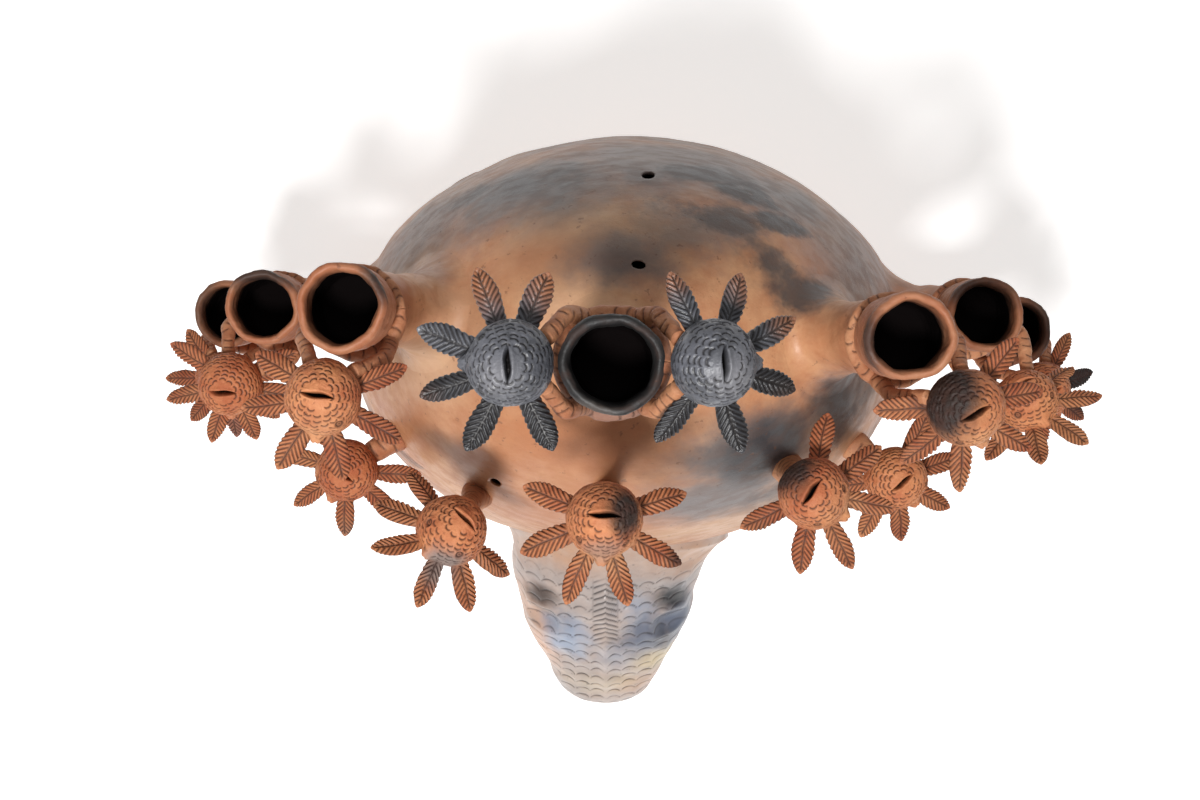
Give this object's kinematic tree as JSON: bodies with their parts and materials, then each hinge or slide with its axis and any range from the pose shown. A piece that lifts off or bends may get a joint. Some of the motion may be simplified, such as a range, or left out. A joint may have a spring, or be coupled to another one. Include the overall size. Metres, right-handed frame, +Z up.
{
  "type": "clay tree of life candelabra",
  "caption": "Hand-built clay candelabra: a round-bodied scaly animal on stub legs, with candle cups on tubes and bird heads in leaf rosettes.",
  "frame": {"origin": "on the floor under the middle of the whole object", "axes": "+Z up along the top candle's axis, the animal's head looks along -Y, +X is to the right seen from above with the head at the bottom"},
  "size_m": [0.5791, 0.3711, 0.53],
  "materials": {
    "burnished_clay": "burnished by hand, low fired, with smoke clouds",
    "cup_clay": "burnished outside, sooty inside",
    "incised_clay": "matte, incised while leather hard, brown in the cuts",
    "smoked_clay": "matte, smoked black, incised",
    "coil_clay": "matte hand-rolled coil with pressed nicks"
  },
  "bodies": {
    "root": {"dome_shell": "burnished_clay", "belly_bowl": "burnished_clay", "animal_head": "burnished_clay", "leg_front_left": "burnished_clay", "leg_front_right": "burnished_clay", "leg_back_left": "burnished_clay", "leg_back_right": "burnished_clay", "trunk": "burnished_clay", "tube_left_upper": "burnished_clay", "tube_left_middle": "burnished_clay", "tube_left_lower": "burnished_clay", "tube_right_upper": "burnished_clay", "tube_right_middle": "burnished_clay", "tube_right_lower": "burnished_clay", "cup_top": "cup_clay", "cup_left_upper": "cup_clay", "cup_left_middle": "cup_clay", "cup_left_lower": "cup_clay", "cup_right_upper": "cup_clay", "cup_right_middle": "cup_clay", "cup_right_lower": "cup_clay", "coil_top": "coil_clay", "coils_left": "coil_clay", "coils_right": "coil_clay", "stem_breast": "coil_clay", "stems_left": "coil_clay", "stems_right": "coil_clay", "bird_top_left": "smoked_clay", "bird_top_right": "smoked_clay", "bird_breast": "incised_clay", "bird_left_upper": "incised_clay", "bird_left_middle": "incised_clay", "bird_left_lower": "incised_clay", "bird_left_shoulder": "incised_clay", "bird_left_flank": "incised_clay", "bird_right_upper": "incised_clay", "bird_right_middle": "incised_clay", "bird_right_lower": "incised_clay", "bird_right_shoulder": "incised_clay", "bird_right_flank": "incised_clay", "leaves_top_left": "smoked_clay", "leaves_top_right": "smoked_clay", "leaves_breast": "incised_clay", "leaves_left_upper": "incised_clay", "leaves_left_middle": "incised_clay", "leaves_left_lower": "incised_clay", "leaves_left_shoulder": "incised_clay", "leaves_left_flank": "incised_clay", "leaves_right_upper": "incised_clay", "leaves_right_middle": "incised_clay", "leaves_right_lower": "incised_clay", "leaves_right_shoulder": "incised_clay", "leaves_right_flank": "incised_clay"}
  },
  "joints": []
}
